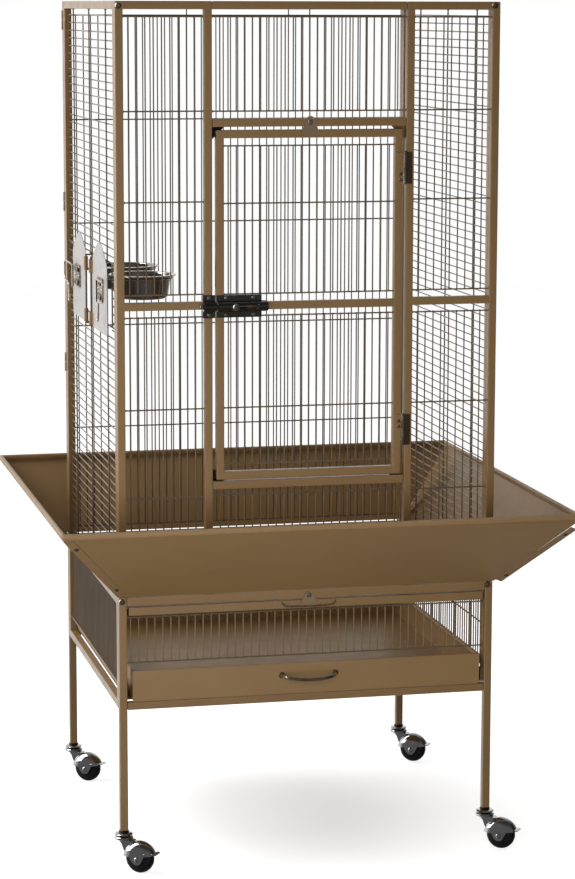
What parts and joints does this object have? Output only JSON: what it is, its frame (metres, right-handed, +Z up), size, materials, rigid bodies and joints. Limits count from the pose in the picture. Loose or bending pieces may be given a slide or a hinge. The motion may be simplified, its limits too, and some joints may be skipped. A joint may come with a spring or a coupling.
{
  "type": "bird cage on wheeled stand",
  "caption": "Square-tube wire bird cage on a wheeled stand, with a hinged front door, swing-out feeder doors, slide-out grate and tray, and a flared seed guard.",
  "frame": {"origin": "floor level under the middle of the seed guard's outline", "axes": "+Z up, the main door faces -Y, the feeder doors are on the -X side"},
  "size_m": [0.8236, 0.7694, 1.366],
  "materials": {
    "brown_coat": "satin brown powder coat over square steel tube and wire",
    "brown_sheet": "satin brown powder coat over bent sheet steel",
    "steel": "polished stainless steel",
    "chrome": "bright chrome plate",
    "dark_chrome": "dark polished plate",
    "bronze": "bronze-brown plated steel",
    "pale_plate": "pale grey enamelled sheet",
    "roller": "black moulded wheel with a soft tread"
  },
  "bodies": {
    "cage": {"back_left_leg": "brown_coat", "back_panel": "brown_coat", "back_right_leg": "brown_coat", "base_back_panel": "brown_coat", "base_front_fence": "brown_coat", "base_front_rail": "brown_coat", "base_left_panel": "brown_coat", "base_low_rail": "brown_coat", "base_right_panel": "brown_coat", "bolt_keeper": "dark_chrome", "front_left_leg": "brown_coat", "front_left_panel": "brown_coat", "front_right_leg": "brown_coat", "front_right_panel": "brown_coat", "front_sill_panel": "brown_coat", "front_top_panel": "brown_coat", "grate_runner_left": "brown_coat", "grate_runner_right": "brown_coat", "left_centre_strip": "brown_coat", "left_front_strip": "brown_coat", "left_lower_panel": "brown_coat", "left_rear_strip": "brown_coat", "left_upper_panel": "brown_coat", "lower_hinge_jamb_leaf": "dark_chrome", "right_panel": "brown_coat", "roof_panel": "brown_coat", "seed_guard_back": "brown_sheet", "seed_guard_front": "brown_sheet", "seed_guard_left": "brown_sheet", "seed_guard_right": "brown_sheet", "tray_runner_left": "brown_coat", "tray_runner_right": "brown_coat", "upper_hinge_jamb_leaf": "dark_chrome"},
    "main_door": {"door": "brown_coat", "lower_hinge_door_leaf": "dark_chrome", "upper_hinge_door_leaf": "dark_chrome", "bolt_housing": "dark_chrome"},
    "door_bolt": {"bolt_rod": "dark_chrome"},
    "top_latch": {"door_latch": "bronze"},
    "lower_latch": {"grate_latch": "bronze"},
    "sliding_grate": {"grate": "brown_coat"},
    "sliding_tray": {"tray": "brown_sheet", "tray_handle": "brown_sheet"},
    "front_feeder": {"front_feeder_door": "pale_plate", "front_cup_ring": "steel"},
    "front_feeder_catch": {"front_feeder_latch": "bronze"},
    "front_feed_cup": {"front_cup": "steel"},
    "back_feeder": {"back_feeder_door": "pale_plate", "back_cup_ring": "steel"},
    "back_feeder_catch": {"back_feeder_latch": "bronze"},
    "back_feed_cup": {"back_cup": "steel"},
    "front_left_caster": {"front_left_fork": "chrome"},
    "front_left_roller": {"front_left_wheel": "roller"},
    "front_right_caster": {"front_right_fork": "chrome"},
    "front_right_roller": {"front_right_wheel": "roller"},
    "back_left_caster": {"back_left_fork": "chrome"},
    "back_left_roller": {"back_left_wheel": "roller"},
    "back_right_caster": {"back_right_fork": "chrome"},
    "back_right_roller": {"back_right_wheel": "roller"}
  },
  "joints": [
    {"name": "door_hinge", "type": "hinge", "parent": "cage", "child": "main_door", "pos_m": [0.15165, -0.2655, 0.8975], "axis": [0, 0, 1], "range_deg": [0, 165]},
    {"name": "bolt_slide", "type": "slide", "parent": "main_door", "child": "door_bolt", "axis": [1, 0, 0], "range_m": [0, 0.0295]},
    {"name": "door_latch_swing", "type": "hinge", "parent": "cage", "child": "top_latch", "pos_m": [0, -0.2631, 1.181], "axis": [0, 1, 0], "range_deg": [-100, 100]},
    {"name": "grate_latch_swing", "type": "hinge", "parent": "cage", "child": "lower_latch", "pos_m": [0, -0.2631, 0.435], "axis": [0, 1, 0], "range_deg": [-75, 75]},
    {"name": "grate_slide", "type": "slide", "parent": "cage", "child": "sliding_grate", "axis": [0, -1, 0], "range_m": [0, 0.4]},
    {"name": "tray_slide", "type": "slide", "parent": "cage", "child": "sliding_tray", "axis": [0, -1, 0], "range_m": [0, 0.42]},
    {"name": "front_feeder_hinge", "type": "hinge", "parent": "cage", "child": "front_feeder", "pos_m": [-0.309, -0.032, 0.91], "axis": [0, 0, -1], "range_deg": [0, 90]},
    {"name": "front_catch_swing", "type": "hinge", "parent": "front_feeder", "child": "front_feeder_catch", "pos_m": [-0.3082, -0.132, 0.912], "axis": [-1, 0, 0], "range_deg": [0, 90]},
    {"name": "front_cup_lift", "type": "slide", "parent": "front_feeder", "child": "front_feed_cup", "axis": [0, 0, 1], "range_m": [0, 0.05]},
    {"name": "back_feeder_hinge", "type": "hinge", "parent": "cage", "child": "back_feeder", "pos_m": [-0.309, 0.02, 0.91], "axis": [0, 0, 1], "range_deg": [0, 90]},
    {"name": "back_catch_swing", "type": "hinge", "parent": "back_feeder", "child": "back_feeder_catch", "pos_m": [-0.3082, 0.12, 0.912], "axis": [1, 0, 0], "range_deg": [0, 90]},
    {"name": "back_cup_lift", "type": "slide", "parent": "back_feeder", "child": "back_feed_cup", "axis": [0, 0, 1], "range_m": [0, 0.05]},
    {"name": "front_left_swivel", "type": "hinge", "parent": "cage", "child": "front_left_caster", "pos_m": [-0.29865, -0.25565, 0.056], "axis": [0, 0, 1], "continuous": true},
    {"name": "front_left_roll", "type": "hinge", "parent": "front_left_caster", "child": "front_left_roller", "pos_m": [-0.27565, -0.27265, 0.0235], "axis": [0.5944, 0.8042, 0], "continuous": true},
    {"name": "front_right_swivel", "type": "hinge", "parent": "cage", "child": "front_right_caster", "pos_m": [0.29865, -0.25565, 0.056], "axis": [0, 0, 1], "continuous": true},
    {"name": "front_right_roll", "type": "hinge", "parent": "front_right_caster", "child": "front_right_roller", "pos_m": [0.32165, -0.27265, 0.0235], "axis": [0.5944, 0.8042, 0], "continuous": true},
    {"name": "back_left_swivel", "type": "hinge", "parent": "cage", "child": "back_left_caster", "pos_m": [-0.29865, 0.28365, 0.056], "axis": [0, 0, 1], "continuous": true},
    {"name": "back_left_roll", "type": "hinge", "parent": "back_left_caster", "child": "back_left_roller", "pos_m": [-0.27565, 0.26665, 0.0235], "axis": [0.5944, 0.8042, 0], "continuous": true},
    {"name": "back_right_swivel", "type": "hinge", "parent": "cage", "child": "back_right_caster", "pos_m": [0.29865, 0.28365, 0.056], "axis": [0, 0, 1], "continuous": true},
    {"name": "back_right_roll", "type": "hinge", "parent": "back_right_caster", "child": "back_right_roller", "pos_m": [0.32165, 0.26665, 0.0235], "axis": [0.5944, 0.8042, 0], "continuous": true}
  ]
}
